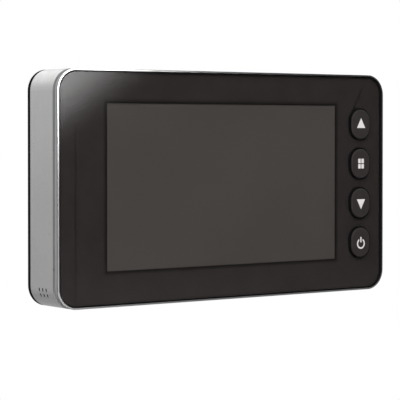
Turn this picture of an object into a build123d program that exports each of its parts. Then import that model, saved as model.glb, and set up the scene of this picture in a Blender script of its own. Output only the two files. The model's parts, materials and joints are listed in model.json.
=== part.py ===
from build123d import *
import math
import os

# A door camera: an indoor monitor that hangs on a steel bracket, and an outdoor camera
# head. A threaded barrel through the peephole pulls the two against the door.
# X points right along the door as seen from indoors, Y points outwards through the door
# and Z points up. The origin is the peephole's axis at the door's inner face.
# All sizes are in millimetres and all angles in degrees.

# Door and the fits that all pieces share
door_thickness = 40.0
door_gap = 0.5
seat_gap = 0.1
shaft_clearance = 0.05
running_gap = 0.3
cut_overrun = 1.0

# Outside of the monitor, from its front to its back
monitor_width = 137.3
monitor_height = 76.5
corner_radius = 7.0
lip_depth = 1.25
groove_width = 1.45
band_depth = 13.95
cover_edge_depth = 1.55
groove_inset = 0.5
band_wall = 1.5
band_edge_chamfer = 0.15

# Front lip that holds the glass
lip_width = 0.55
lip_chamfer = 0.1
lip_rear_chamfer = 0.4
ledge_width = 2.95
ledge_thickness = 1.5
skirt_wall = 1.0
skirt_reach = 2.2

# Front glass and the printed film behind it
glass_gap = 0.4
glass_recess = 0.1
glass_thickness = 1.0
glass_chamfer = 0.12
film_thickness = 0.15

# Screen, whose metal frame lies between the bezel's ledges, its left pillars and the buttons
screen_ledge_gap = 0.2
screen_pillar_gap = 3.1
screen_button_gap = 0.97
screen_frame_side = 4.55
screen_frame_top = 6.85
screen_frame_foot = 7.4
screen_frame_depth = 2.9
screen_frame_wall = 0.4
window_corner = 0.3
screen_recess = 0.1
screen_border = 1.8
screen_panel_thickness = 1.2
ribbon_width = 20.0
ribbon_thickness = 0.3
ribbon_screw_gap = 20.0
ribbon_side_gap = 0.9
ribbon_socket_length = 3.0
ribbon_socket_height = 1.2
ribbon_socket_inset = 0.5
ribbon_socket_ear = 1.0

# Four buttons in a column beside the screen
button_side_border = 6.25
button_end_border = 11.55
button_spacing = 2.6
button_hole_straight = 2.0
button_cap_gap = 0.42
button_drop = 0.25
button_rise = 0.6
button_edge_fillet = 0.45
button_flange = 1.0
button_flange_thickness = 1.0
button_play = 0.2
button_travel = 0.5
icon_depth = 0.25
arrow_width = 3.9
arrow_height = 3.55
arrow_shift = 0.45
menu_tile_width = 1.2
menu_tile_height = 1.6
menu_tile_gap = 0.3
menu_tile_corner = 0.2
power_ring_diameter = 3.7
power_stroke = 0.55
power_opening = 1.6
power_bar_length = 1.95
power_drop = 0.5

# Tactile switches under the buttons
switch_size = 4.5
switch_height = 3.0
switch_floor = 0.9
plunger_radius = 1.1

# Inner chassis
chassis_thickness = 1.2
standoff_height = 1.2
standoff_radius = 2.2

# Case screws and the pillars that they pass
case_screw_side = 8.65
case_screw_end = 5.75
pillar_radius = 3.0
screw_shank_radius = 1.25
screw_head_radius = 2.3
screw_head_height = 1.5
screw_reach = 2.3
screw_seat_depth = 6.0
screw_socket_radius = 1.0
screw_socket_depth = 0.8

# Main circuit board and what is on it
board_tray_gap = 2.95
board_side_gap = 1.05
board_pillar_gap = 1.5
board_thickness = 1.0
board_screw_inset = 4.0
board_screw_button_gap = 10.15
board_screw_shank = 0.8
board_screw_head = 1.7
board_screw_head_height = 1.0
board_screw_length = 3.0
processor_size = 14.0
processor_height = 1.4
processor_gap = 10.0
processor_z = 6.0
memory_width = 8.0
memory_length = 10.0
memory_height = 1.0
memory_gap = 2.0
memory_spacing = 14.0
coil_size = 5.0
coil_height = 2.5
coil_x = 6.0
coil_edge_gap = 0.5
coil_spacing = 7.0
camera_socket_width = 12.0
camera_socket_depth = 5.0
camera_socket_shell = 1.0
camera_socket_cavity = 2.2

# Memory card, its socket and its slot in the right side
card_length = 15.0
card_width = 11.0
card_thickness = 1.0
card_z = 8.0
card_recess = 0.25
card_notch = 1.4
card_socket_side = 1.3
card_socket_sheet = 0.3
card_socket_back = 0.6
card_gap = 0.15
card_slot_gap = 0.35

# Microphone in the lower left corner
mic_row_angles = (7.8, 23.0)
mic_row_depths = (7.1, 7.0)
mic_holes_per_row = 3
mic_hole_pitch = 2.07
mic_hole_width = 0.7
mic_hole_length = 1.2
mic_radius = 2.0
mic_length = 1.5
mic_gap = 0.7

# Cells in a row, with their tray and hinged lid in the rear cover. They are as thick and
# long as the room behind the screen and between the pillars, and as many as fit beside the
# bracket's recess: four AAA cells.
cell_spacing = 0.2
cell_gap = 0.3
cell_lid_gap = 0.3
cell_nub_radius = 1.9
cell_nub_length = 0.8
contact_plate = 0.4
contact_size = 8.0
spring_length = 4.3
spring_base_radius = 3.6
spring_tip_radius = 2.2
spring_wire = 0.6
tray_wall = 1.0
tray_rib = 0.2
tray_screen_gap = 0.5
tray_pillar_gap = 1.9
lid_strip = 1.5
lid_seat = 0.85
lid_end_seat = 0.7
lid_hinge_drop = 1.4
lid_axis_offset = 0.85
lid_knuckle_radius = 1.2
lid_pin_radius = 0.7
lid_pin_length = 1.2
lid_heel = 0.5
lid_corner_gap = 0.2
hinge_end_thickness = 1.8
grip_rib_count = 3
grip_rib_pitch = 2.0
grip_rib_length = 12.0
grip_rib_width = 0.8
grip_rib_depth = 0.4

# Rear cover
cover_wall = 1.2
cover_edge_fillet = 0.12
rim_wall = 1.2
rim_reach = 2.5
speaker_side = 26.65
speaker_end = 20.25
speaker_radius = 10.0
speaker_rim = 2.8
speaker_magnet_radius = 6.5
speaker_magnet_depth = 2.0
speaker_dish = 1.2
speaker_collar_wall = 1.2
speaker_collar_height = 2.5
grille_hole_radius = 0.75
grille_ring_step = 2.6
grille_rings = 3
grille_holes_per_ring = 6
pad_width = 12.0
pad_height = 5.0
pad_corner = 1.0
pad_side = 24.65
pad_end = 5.75

# Door bracket, which the monitor is lifted off
bracket_width = 34.0
bracket_end_border = 13.25
bracket_thickness = 1.2
bracket_corner = 4.0
bracket_screw_radius = 1.8
bracket_screw_head_radius = 2.6
bracket_screw_inset = 5.0
hook_inset = 2.5
hook_width = 4.0
hook_thickness = 1.2
hook_tongue = 1.0
hook_rise = 3.3
hook_top_drop = 9.5
hook_foot_rise = 3.0

# Threaded barrel and clamp nut
barrel_radius = 7.0
barrel_wall = 2.0
barrel_inner_end = 6.0
thread_pitch = 1.5
thread_depth = 0.5
thread_turns = 24
barrel_flange = 2.5
barrel_flange_thickness = 1.2
nut_radius = 12.0
nut_thickness = 3.5
nut_chamfer = 0.5
nut_grip_count = 8
nut_grip_radius = 1.5
nut_pocket_gap = 0.6
pocket_depth = 6.2

# Outdoor head
head_radius = 24.0
head_depth = 11.0
head_wall = 1.8
head_back = 2.0
head_fillet = 1.2
gasket_thickness = 1.0
gasket_inset = 0.8
faceplate_thickness = 2.0
faceplate_gap = 0.1
head_board_gap = 1.7
head_board_thickness = 1.2
head_post_height = 2.0
head_post_radius = 2.3
head_post_inset = 4.7
head_post_angle = 105.0
lens_bell_spacing = 17.5
lens_barrel_radius = 5.5
lens_radius = 4.4
lens_thickness = 2.2
lens_dome_radius = 9.0
lens_recess = 0.3
lens_ring_radius = 8.5
lens_ring_height = 1.6
lens_ring_chamfer = 0.6
sensor_size = 8.0
sensor_height = 1.2
led_radius = 1.5
led_ring_gap = 4.3
led_spacing = 8.0
led_straight = 5.3
bell_edge_gap = 3.2
bell_radius = 5.3
bell_rise = 1.0
bell_flange = 1.2
bell_flange_thickness = 1.0
bell_travel = 0.6
bell_fillet = 0.4
bell_plunger_radius = 1.2
bell_switch_size = 6.0
bell_switch_height = 1.7
bell_switch_floor = 0.3

# Places along Y that follow from the sizes above, counted from the door's inner face
cover_rear_y = -door_gap
band_rear_y = cover_rear_y - cover_edge_depth
band_front_y = band_rear_y - band_depth
lip_rear_y = band_front_y - groove_width
front_y = lip_rear_y - lip_depth
glass_front_y = front_y + glass_recess
glass_rear_y = glass_front_y + glass_thickness
film_rear_y = glass_rear_y + film_thickness
ledge_rear_y = film_rear_y + ledge_thickness
skirt_rear_y = band_front_y + skirt_reach
screen_rear_y = film_rear_y + screen_frame_depth
chassis_rear_y = screen_rear_y + chassis_thickness
board_front_y = chassis_rear_y + standoff_height
board_rear_y = board_front_y + board_thickness
cap_front_y = glass_front_y - button_rise
flange_front_y = film_rear_y + button_play
flange_rear_y = flange_front_y + button_flange_thickness
recess_y = -bracket_thickness - seat_gap
dish_front_y = recess_y - cover_wall
pocket_floor_y = recess_y - pocket_depth
pocket_front_y = pocket_floor_y - cover_wall
tray_front_y = screen_rear_y + tray_screen_gap
tray_floor_y = tray_front_y + tray_wall
cell_radius = (band_rear_y - cell_lid_gap - tray_floor_y - tray_rib) / 2
cell_y = band_rear_y - cell_lid_gap - cell_radius
lid_axis_y = cover_rear_y - lid_hinge_drop
trough_floor_y = lid_axis_y - lid_knuckle_radius - running_gap
card_y = board_rear_y + card_socket_sheet + card_gap + card_thickness / 2
screw_seat_y = cover_rear_y - screw_seat_depth

# Insets from the monitor's outline that follow from its walls
inner_inset = band_wall + seat_gap
rim_inset = inner_inset + rim_wall
chassis_inset = inner_inset + skirt_wall + seat_gap
glass_inset = lip_width + glass_gap

# Places along X and Z that follow from the sizes above
case_screw_x = monitor_width / 2 - case_screw_side
case_screw_z = monitor_height / 2 - case_screw_end
case_screw_places = [
    (x, z) for x in (-case_screw_x, case_screw_x) for z in (-case_screw_z, case_screw_z)
]
button_names = ["up", "menu", "down", "power"]
button_column = monitor_height - 2 * button_end_border
button_pitch = (button_column + button_spacing) / len(button_names)
button_hole_height = button_pitch - button_spacing
button_hole_width = button_hole_height - button_hole_straight
button_x = monitor_width / 2 - button_side_border - button_hole_width / 2
middle_row = (len(button_names) - 1) / 2
button_levels = [
    button_pitch * (middle_row - row) - button_drop for row in range(len(button_names))
]
cap_width = button_hole_width - 2 * button_cap_gap
cap_height = button_hole_height - 2 * button_cap_gap
screen_left = pillar_radius + screen_pillar_gap - case_screw_x
screen_right = button_x - cap_width / 2 - button_flange - screen_button_gap
screen_half_height = monitor_height / 2 - glass_inset - ledge_width - screen_ledge_gap
window_left = screen_left + screen_frame_side
window_right = screen_right - screen_frame_side
window_high = screen_half_height - screen_frame_top
window_low = screen_frame_foot - screen_half_height
bracket_height = monitor_height - 2 * bracket_end_border
hook_x = bracket_width / 2 - hook_inset
hook_levels = (bracket_height / 2 - hook_top_drop, hook_foot_rise - bracket_height / 2)
lift_travel = hook_thickness + hook_rise
recess_half_width = bracket_width / 2 + running_gap
recess_top = bracket_height / 2 + running_gap
recess_bottom = -bracket_height / 2 - lift_travel - running_gap
lid_opening_right = -recess_half_width - lid_strip
lid_right = lid_opening_right - running_gap
tray_right = lid_right - lid_seat
lid_hinge_room = math.hypot(lid_heel, lid_hinge_drop) + lid_corner_gap
cell_pitch = 2 * cell_radius + cell_spacing
last_cell_x = tray_right - cell_gap - cell_radius
cell_limit_x = rim_inset + lid_hinge_room + lid_axis_offset + cell_gap + cell_radius - monitor_width / 2
cell_count = math.floor((last_cell_x - cell_limit_x) / cell_pitch) + 1
first_cell_x = last_cell_x - cell_pitch * (cell_count - 1)
tray_left = first_cell_x - cell_radius - cell_gap
trough_half_length = case_screw_z - pillar_radius - tray_pillar_gap
lid_opening_half = trough_half_length - hinge_end_thickness
lid_half_length = lid_opening_half - running_gap
tray_half_length = lid_half_length - lid_end_seat
lid_axis_x = tray_left - lid_axis_offset
lid_opening_left = lid_axis_x - lid_hinge_room
pocket_radius = nut_radius + nut_pocket_gap
barrel_bore_radius = barrel_radius - barrel_wall
barrel_flange_radius = barrel_radius + barrel_flange
board_left = tray_right + tray_wall + board_tray_gap
board_right = monitor_width / 2 - inner_inset - board_side_gap
board_half_height = case_screw_z - pillar_radius - board_pillar_gap
board_screw_right = button_x - board_screw_button_gap
board_screw_z = board_half_height - board_screw_inset
board_screw_places = [
    (x, z)
    for x in (board_left + board_screw_inset, board_screw_right)
    for z in (-board_screw_z, board_screw_z)
]
ribbon_x = board_screw_right - ribbon_screw_gap
processor_x = camera_socket_width / 2 + processor_gap + processor_size / 2
memory_x = processor_x + (processor_size + memory_width) / 2 + memory_gap
coil_z = board_half_height - coil_edge_gap - (coil_size + coil_spacing) / 2
card_right_x = monitor_width / 2 - card_recess
card_left_x = card_right_x - card_length
card_socket_left = card_left_x - running_gap - card_socket_back
speaker_x = monitor_width / 2 - speaker_side
speaker_z = speaker_end - monitor_height / 2
pad_x = monitor_width / 2 - pad_side
pad_z = monitor_height / 2 - pad_end

# Places in the outdoor head, along Y from the door's outer face
head_rear_y = door_thickness + gasket_thickness
head_front_y = head_rear_y + head_depth
head_floor_y = head_rear_y + head_back
faceplate_rear_y = head_front_y - faceplate_thickness
head_board_y = head_floor_y + head_post_height
head_board_front_y = head_board_y + head_board_thickness
lens_ring_front_y = head_front_y + lens_ring_height
bell_flange_y = faceplate_rear_y - faceplate_gap
bell_rear_y = bell_flange_y - bell_flange_thickness
head_inner_radius = head_radius - head_wall
head_board_radius = head_inner_radius - head_board_gap
head_post_circle = head_inner_radius - head_post_inset
head_post_turn = math.radians(head_post_angle)
head_post_places = [
    (side * head_post_circle * math.sin(head_post_turn), head_post_circle * math.cos(head_post_turn))
    for side in (-1, 1)
]
bell_z = bell_radius + bell_flange + bell_edge_gap - head_inner_radius
lens_z = bell_z + lens_bell_spacing
led_x = lens_ring_radius + led_ring_gap
led_z = lens_z - led_spacing / 2

outwards = (Align.CENTER, Align.CENTER, Align.MIN)


def layer(outline, near_y, far_y):
    """A solid with an outline drawn in X and Z, from near_y outwards to far_y."""
    plane = Plane(origin=(0, far_y, 0), x_dir=(1, 0, 0), z_dir=(0, -1, 0))
    return extrude(plane * outline, amount=far_y - near_y)


def disc(radius, near_y, far_y, x=0, z=0):
    """A round solid along Y."""
    return layer(Pos(x, z) * Circle(radius), near_y, far_y)


def post(radius, low_z, high_z, x, y):
    """A round solid along Z."""
    return Pos(x, y, (low_z + high_z) / 2) * Cylinder(radius, high_z - low_z)


def block(x_span, y_span, z_span):
    """A box given by its lowest and highest X, Y and Z."""
    spans = (x_span, y_span, z_span)
    middle = [(low + high) / 2 for low, high in spans]
    return Pos(*middle) * Box(*[high - low for low, high in spans])


def about(middle, size):
    """The span of a size about its middle."""
    return (middle - size / 2, middle + size / 2)


def outline(inset):
    """The monitor's rounded outline, drawn in by an inset."""
    return RectangleRounded(monitor_width - 2 * inset, monitor_height - 2 * inset, corner_radius - inset)


def pill(width, height, x=0, z=0):
    """An upright oval with round ends."""
    return Pos(x, z) * Rot(0, 0, 90) * SlotOverall(height, width)


def end_edges(solid, axis_end):
    """The edges of a solid's first or last flat end along Y."""
    return solid.faces().sort_by(Axis.Y)[axis_end].edges()


def turned(points):
    """A solid turned about the peephole's axis from points of radius and Y."""
    return revolve(make_face(Polyline(*points, close=True)), Axis.Y)


def button_holes():
    """The four upright openings that the button caps come through."""
    holes = Sketch()
    for level in button_levels:
        holes += pill(button_hole_width, button_hole_height, button_x, level)
    return holes


def front_glass():
    """The clear front plate."""
    plate = layer(outline(glass_inset), glass_front_y, glass_rear_y)
    plate = chamfer(end_edges(plate, 0), glass_chamfer)
    return plate - layer(button_holes(), glass_front_y - cut_overrun, glass_rear_y + cut_overrun)


def glass_film():
    """The black print behind the glass, open at the screen and the buttons."""
    middle = Pos((window_left + window_right) / 2, (window_low + window_high) / 2)
    size = (window_right - window_left, window_high - window_low)
    window = middle * RectangleRounded(*size, window_corner)
    return layer(outline(glass_inset) - window - button_holes(), glass_rear_y, film_rear_y)


def front_bezel():
    """The bright lip, the groove behind it and the skirt that plugs into the band."""
    lip = layer(outline(0), front_y, lip_rear_y)
    lip = chamfer(end_edges(lip, 0), lip_chamfer)
    lip = chamfer(end_edges(lip, -1), lip_rear_chamfer)
    frame = lip + layer(outline(groove_inset), lip_rear_y, band_front_y)
    frame += layer(outline(inner_inset), band_front_y, skirt_rear_y)
    frame -= layer(outline(lip_width), front_y - cut_overrun, film_rear_y)
    frame -= layer(outline(glass_inset + ledge_width), film_rear_y - cut_overrun, skirt_rear_y)
    frame -= layer(outline(inner_inset + skirt_wall), ledge_rear_y, skirt_rear_y + cut_overrun)
    bore = screw_shank_radius + shaft_clearance
    for x, z in case_screw_places:
        frame += disc(pillar_radius, film_rear_y, screen_rear_y, x, z)
        frame -= disc(bore, screen_rear_y - screw_reach, screen_rear_y, x, z)
    return frame


def side_band():
    """The satin band, with its microphone holes and its memory card slot."""
    band = layer(outline(0), band_front_y, band_rear_y)
    band = chamfer(end_edges(band, 0) + end_edges(band, -1), band_edge_chamfer)
    band -= layer(outline(band_wall), band_front_y - cut_overrun, band_rear_y + cut_overrun)
    band -= block(
        (monitor_width / 2 - band_wall - cut_overrun, monitor_width / 2 + cut_overrun),
        about(card_y, card_thickness + 2 * card_slot_gap),
        about(card_z, card_width + 2 * card_slot_gap),
    )
    for angle, first_depth in zip(mic_row_angles, mic_row_depths):
        for hole in range(mic_holes_per_row):
            plane = corner_plane(angle, front_y + first_depth + hole * mic_hole_pitch)
            slot = SlotOverall(mic_hole_length, mic_hole_width, rotation=90)
            band -= extrude(plane * slot, amount=corner_radius + cut_overrun)
    return band


def corner_plane(angle, y):
    """A plane in the middle of the lower left corner's curve that looks out at an angle.

    Its own first direction runs along Y, its second along the curve.
    """
    lean = math.radians(angle)
    middle = (corner_radius - monitor_width / 2, y, corner_radius - monitor_height / 2)
    return Plane(origin=middle, x_dir=(0, 1, 0), z_dir=(-math.cos(lean), 0, -math.sin(lean)))


def microphone():
    """The round capsule behind the corner's holes."""
    angle = sum(mic_row_angles) / len(mic_row_angles)
    first_depth = sum(mic_row_depths) / len(mic_row_depths)
    plane = corner_plane(angle, front_y + first_depth + mic_hole_pitch * (mic_holes_per_row - 1) / 2)
    start = corner_radius - band_wall - mic_gap - mic_length
    return plane * Pos(0, 0, start) * Cylinder(mic_radius, mic_length, align=outwards)


def behind_window(near_y, far_y):
    """A box a border larger than the window, which fills the metal frame's pocket."""
    width = (window_left - screen_border, window_right + screen_border)
    return block(width, (near_y, far_y), (window_low - screen_border, window_high + screen_border))


def screen_frame():
    """The screen's metal tray."""
    height = (-screen_half_height, screen_half_height)
    tray = block((screen_left, screen_right), (film_rear_y, screen_rear_y), height)
    return tray - behind_window(film_rear_y - cut_overrun, screen_rear_y - screen_frame_wall)


def screen_panel():
    """The liquid crystal panel, just behind the film's window."""
    near_y = film_rear_y + screen_recess
    return behind_window(near_y, near_y + screen_panel_thickness)


def backlight():
    """The light guide that fills the metal tray behind the panel."""
    near_y = film_rear_y + screen_recess + screen_panel_thickness
    return behind_window(near_y, screen_rear_y - screen_frame_wall)


def ribbon_low_z():
    """The lowest point of the screen's ribbon, which passes just under the board."""
    return -board_half_height - ribbon_side_gap - ribbon_thickness


def screen_ribbon():
    """The flat ribbon from the screen, round the board's lower edge to its socket."""
    width = about(ribbon_x, ribbon_width)
    top_y = board_rear_y + ribbon_socket_height
    low_z = ribbon_low_z()
    riser = block(width, (screen_rear_y, top_y + ribbon_thickness), (low_z, low_z + ribbon_thickness))
    fold_end = ribbon_socket_low_z() + ribbon_socket_length
    return riser + block(width, (top_y, top_y + ribbon_thickness), (low_z, fold_end))


def ribbon_socket_low_z():
    """The lower edge of the ribbon's socket on the board."""
    return ribbon_socket_inset - board_half_height


def ribbon_socket():
    """The ribbon's socket on the back of the board."""
    low_z = ribbon_socket_low_z()
    width = about(ribbon_x, ribbon_width + 2 * ribbon_socket_ear)
    height = (board_rear_y, board_rear_y + ribbon_socket_height)
    return block(width, height, (low_z, low_z + ribbon_socket_length))


def button_cap(level, icon):
    """One raised oval cap with its retaining flange and the recess for its icon."""
    cap = layer(pill(cap_width, cap_height, button_x, level), cap_front_y, flange_front_y)
    cap = fillet(end_edges(cap, 0), button_edge_fillet)
    flange = pill(cap_width + 2 * button_flange, cap_height + 2 * button_flange, button_x, level)
    return cap + layer(flange, flange_front_y, flange_rear_y) - icon


def arrow():
    """A triangle that points up."""
    foot = arrow_shift - arrow_height / 2
    tip = (0, arrow_shift + arrow_height / 2)
    return Polygon((-arrow_width / 2, foot), (arrow_width / 2, foot), tip, align=None)


def menu_tiles():
    """Four small rounded tiles."""
    places = GridLocations(menu_tile_width + menu_tile_gap, menu_tile_height + menu_tile_gap, 2, 2)
    return Sketch() + [
        place * RectangleRounded(menu_tile_width, menu_tile_height, menu_tile_corner) for place in places
    ]


def power_mark():
    """An open ring with a short bar in its opening."""
    ring = Circle(power_ring_diameter / 2) - Circle(power_ring_diameter / 2 - power_stroke)
    ring -= Pos(0, power_ring_diameter / 2) * Rectangle(power_opening, power_ring_diameter)
    bar_low = power_ring_diameter / 2 + power_stroke - power_bar_length
    return ring + Pos(0, bar_low + power_bar_length / 2) * Rectangle(power_stroke, power_bar_length)


def button_icon(name, level):
    """The pale inlay of one button, flush with its cap."""
    marks = {
        "up": arrow(),
        "menu": menu_tiles(),
        "down": Rot(0, 0, 180) * arrow(),
        "power": Pos(0, -power_drop) * power_mark(),
    }
    return layer(Pos(button_x, level) * marks[name], cap_front_y, cap_front_y + icon_depth)


def button_plunger(level):
    """The plunger that stands out of a switch and carries its cap."""
    rear_y = board_front_y - switch_floor - button_travel - button_play
    return disc(plunger_radius, flange_rear_y, rear_y, button_x, level)


def button_switches():
    """The four tactile switches on the front of the board."""
    switches = []
    top_y = board_front_y - switch_height
    bore = plunger_radius + seat_gap
    for level in button_levels:
        body = block(about(button_x, switch_size), (top_y, board_front_y), about(level, switch_size))
        switches.append(body - disc(bore, top_y, board_front_y - switch_floor, button_x, level))
    return Compound(children=switches)


def chassis():
    """The inner frame between the screen and the board."""
    frame = layer(outline(chassis_inset), screen_rear_y, chassis_rear_y)
    through = (screen_rear_y - cut_overrun, chassis_rear_y + cut_overrun)
    tray_span = (tray_left - tray_wall - running_gap, tray_right + tray_wall + running_gap)
    frame -= block(tray_span, through, about(0, 2 * (tray_half_length + tray_wall + running_gap)))
    switch_room = switch_size + 2 * running_gap
    column = button_pitch * (len(button_names) - 1) + switch_room
    frame -= block(about(button_x, switch_room), through, about(0, column))
    ribbon_z = ribbon_low_z() + ribbon_thickness / 2
    ribbon_room = (ribbon_width + 2 * running_gap, ribbon_thickness + 2 * running_gap)
    frame -= block(about(ribbon_x, ribbon_room[0]), through, about(ribbon_z, ribbon_room[1]))
    for x, z in case_screw_places:
        frame -= disc(screw_shank_radius + seat_gap, *through, x, z)
    for x, z in board_screw_places:
        frame += disc(standoff_radius, chassis_rear_y, board_front_y, x, z)
        frame -= disc(board_screw_shank + shaft_clearance, screen_rear_y, board_front_y, x, z)
    return frame


def main_board():
    """The main circuit board."""
    height = (-board_half_height, board_half_height)
    board = block((board_left, board_right), (board_front_y, board_rear_y), height)
    for x, z in board_screw_places:
        hole = board_screw_shank + seat_gap
        board -= disc(hole, board_front_y - cut_overrun, board_rear_y + cut_overrun, x, z)
    return board


def board_screw(x, seat_y, z):
    """A small screw whose head sits on a board at seat_y."""
    shank = disc(board_screw_shank, seat_y - board_screw_length, seat_y, x, z)
    return shank + disc(board_screw_head, seat_y, seat_y + board_screw_head_height, x, z)


def board_screws():
    """The screws that hold the board on its standoffs."""
    return Compound(children=[board_screw(x, board_rear_y, z) for x, z in board_screw_places])


def on_board(x, z, width, length, height):
    """A square part that stands on the back of the main board."""
    return block(about(x, width), (board_rear_y, board_rear_y + height), about(z, length))


def processor_chip():
    """The processor."""
    return on_board(processor_x, processor_z, processor_size, processor_size, processor_height)


def memory_chips():
    """Two memory chips beside the processor."""
    size = (memory_width, memory_length, memory_height)
    return Compound(children=[on_board(memory_x, z, *size) for z in about(processor_z, memory_spacing)])


def power_coils():
    """Two coils of the battery's power supply."""
    size = (coil_size, coil_size, coil_height)
    return Compound(children=[on_board(coil_x, z, *size) for z in about(coil_z, coil_spacing)])


def camera_socket():
    """The socket for the outdoor head's lead, which shows in the barrel's pocket."""
    top_y = pocket_floor_y - seat_gap
    middle_z = -lift_travel / 2
    width = about(0, camera_socket_width)
    body = block(width, (board_rear_y, top_y), about(middle_z, camera_socket_depth))
    mouth_width = about(0, camera_socket_width - 2 * camera_socket_shell)
    mouth_depth = about(middle_z, camera_socket_depth - 2 * camera_socket_shell)
    return body - block(mouth_width, (top_y - camera_socket_cavity, top_y + cut_overrun), mouth_depth)


def card_socket():
    """The memory card's socket, open to the right."""
    body = block(
        (card_socket_left, board_right),
        about(card_y, card_thickness + 2 * (card_gap + card_socket_sheet)),
        about(card_z, card_width + 2 * (card_gap + card_socket_side)),
    )
    return body - block(
        (card_socket_left + card_socket_back, board_right + cut_overrun),
        about(card_y, card_thickness + 2 * card_gap),
        about(card_z, card_width + 2 * card_gap),
    )


def memory_card():
    """The memory card, with its notched edge, just inside the slot."""
    length = (card_left_x, card_right_x)
    card = block(length, about(card_y, card_thickness), about(card_z, card_width))
    top_z = card_z + card_width / 2
    return card - block(
        (card_left_x - cut_overrun, (card_left_x + card_right_x) / 2),
        about(card_y, card_thickness + 2 * cut_overrun),
        (top_z - card_notch, top_z + cut_overrun),
    )


def cell_places():
    """Each cell's place along X and which way up it lies, every other one turned over."""
    return [(first_cell_x + cell_pitch * cell, 1 if cell % 2 == 0 else -1) for cell in range(cell_count)]


def cell_ends(way):
    """A cell's flat end and nub end along Z for the way that it lies."""
    flat_z = -way * (tray_half_length - contact_plate - spring_length)
    nub_z = way * (tray_half_length - contact_plate)
    return flat_z, nub_z


def battery_cells():
    """The cells side by side, each with a nub at one end."""
    cells = []
    for x, way in cell_places():
        flat_z, nub_z = cell_ends(way)
        shoulder_z = nub_z - way * cell_nub_length
        can = post(cell_radius, *sorted((flat_z, shoulder_z)), x, cell_y)
        cells.append(can + post(cell_nub_radius, *sorted((shoulder_z, nub_z)), x, cell_y))
    return Compound(children=cells)


def battery_springs():
    """The tapered contact springs under the cells' flat ends."""
    springs = []
    outer = Cone(spring_base_radius, spring_tip_radius, spring_length)
    inner = Cone(spring_base_radius - spring_wire, spring_tip_radius - spring_wire, spring_length)
    for x, way in cell_places():
        flat_z, _ = cell_ends(way)
        place = Pos(x, cell_y, flat_z - way * spring_length / 2)
        tilt = 0 if way > 0 else 180
        springs.append(place * Rot(tilt, 0, 0) * (outer - inner))
    return Compound(children=springs)


def battery_plates():
    """The contact plates at both ends of the tray."""
    plates = []
    for x, _ in cell_places():
        for end in (-1, 1):
            middle_z = end * (tray_half_length - contact_plate / 2)
            plates.append(
                block(about(x, contact_size), about(cell_y, contact_size), about(middle_z, contact_plate))
            )
    return Compound(children=plates)


def battery_lid():
    """The hinged lid over the cells, with its knuckle, pins and grip ribs."""
    leaf_width = (lid_axis_x - lid_heel, lid_right)
    leaf = block(leaf_width, (band_rear_y, cover_rear_y), about(0, 2 * lid_half_length))
    lid = leaf + post(lid_knuckle_radius, -lid_half_length, lid_half_length, lid_axis_x, lid_axis_y)
    pin_end = lid_half_length + lid_pin_length
    lid += post(lid_pin_radius, -pin_end, pin_end, lid_axis_x, lid_axis_y)
    for rib in range(grip_rib_count):
        rib_x = lid_right - grip_rib_pitch * (rib + 1)
        lid -= block(
            about(rib_x, grip_rib_width),
            (cover_rear_y - grip_rib_depth, cover_rear_y + cut_overrun),
            about(0, grip_rib_length),
        )
    return lid


def rear_cover():
    """The black cover, with its rim, bracket recess, barrel pocket, battery tray and pillars."""
    plate = layer(outline(0), band_rear_y, cover_rear_y)
    plate = fillet(end_edges(plate, -1), cover_edge_fillet)
    cover = plate + layer(outline(inner_inset) - outline(rim_inset), band_rear_y - rim_reach, band_rear_y)
    cover += cover_inner_walls()
    for x, z in case_screw_places:
        cover += disc(pillar_radius, chassis_rear_y, band_rear_y, x, z)
        cover -= disc(screw_shank_radius + seat_gap, chassis_rear_y - cut_overrun, cover_rear_y, x, z)
        cover -= disc(screw_head_radius + running_gap, screw_seat_y, cover_rear_y + cut_overrun, x, z)
    cover -= cover_openings()
    for x, level in hook_places():
        slot_width = about(x, hook_width + 2 * running_gap)
        slot_height = (level - lift_travel - running_gap, level + hook_thickness + shaft_clearance)
        cover -= block(slot_width, (dish_front_y - cut_overrun, recess_y + cut_overrun), slot_height)
    return cover - grille()


def cover_inner_walls():
    """What stands inside the cover before its openings are cut."""
    walls = block(
        (-recess_half_width - cover_wall, recess_half_width + cover_wall),
        (dish_front_y, band_rear_y),
        (recess_bottom - cover_wall, recess_top + cover_wall),
    )
    walls += layer(pocket_outline(pocket_radius + cover_wall), pocket_front_y, band_rear_y)
    walls += block(
        (tray_left - tray_wall, tray_right + tray_wall),
        (tray_front_y, band_rear_y),
        (-tray_half_length - tray_wall, tray_half_length + tray_wall),
    )
    walls += block(
        (inner_inset - monitor_width / 2, tray_left),
        (trough_floor_y - tray_wall, band_rear_y),
        (-trough_half_length, trough_half_length),
    )
    collar_radius = speaker_radius + running_gap
    collar = Circle(collar_radius + speaker_collar_wall) - Circle(collar_radius)
    walls += layer(Pos(speaker_x, speaker_z) * collar, band_rear_y - speaker_collar_height, band_rear_y)
    return walls


def cover_openings():
    """The bracket recess, barrel pocket, socket window, battery tray and hinge bores."""
    rear = cover_rear_y + cut_overrun
    cuts = block((-recess_half_width, recess_half_width), (recess_y, rear), (recess_bottom, recess_top))
    cuts += layer(pocket_outline(pocket_radius), pocket_floor_y, rear)
    cuts += block(
        about(0, camera_socket_width + 2 * running_gap),
        (pocket_front_y - cut_overrun, pocket_floor_y + cut_overrun),
        about(-lift_travel / 2, camera_socket_depth + 2 * running_gap),
    )
    cuts += block((tray_left, tray_right), (tray_floor_y, rear), (-tray_half_length, tray_half_length))
    opening = (-lid_opening_half, lid_opening_half)
    cuts += block((lid_opening_left, lid_opening_right), (band_rear_y - seat_gap, rear), opening)
    knuckle_end_x = lid_axis_x + lid_knuckle_radius + running_gap
    cuts += block((lid_opening_left, knuckle_end_x), (trough_floor_y, rear), opening)
    bore_end = lid_half_length + lid_pin_length + running_gap
    cuts += post(lid_pin_radius + shaft_clearance, -bore_end, bore_end, lid_axis_x, lid_axis_y)
    return cuts


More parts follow.
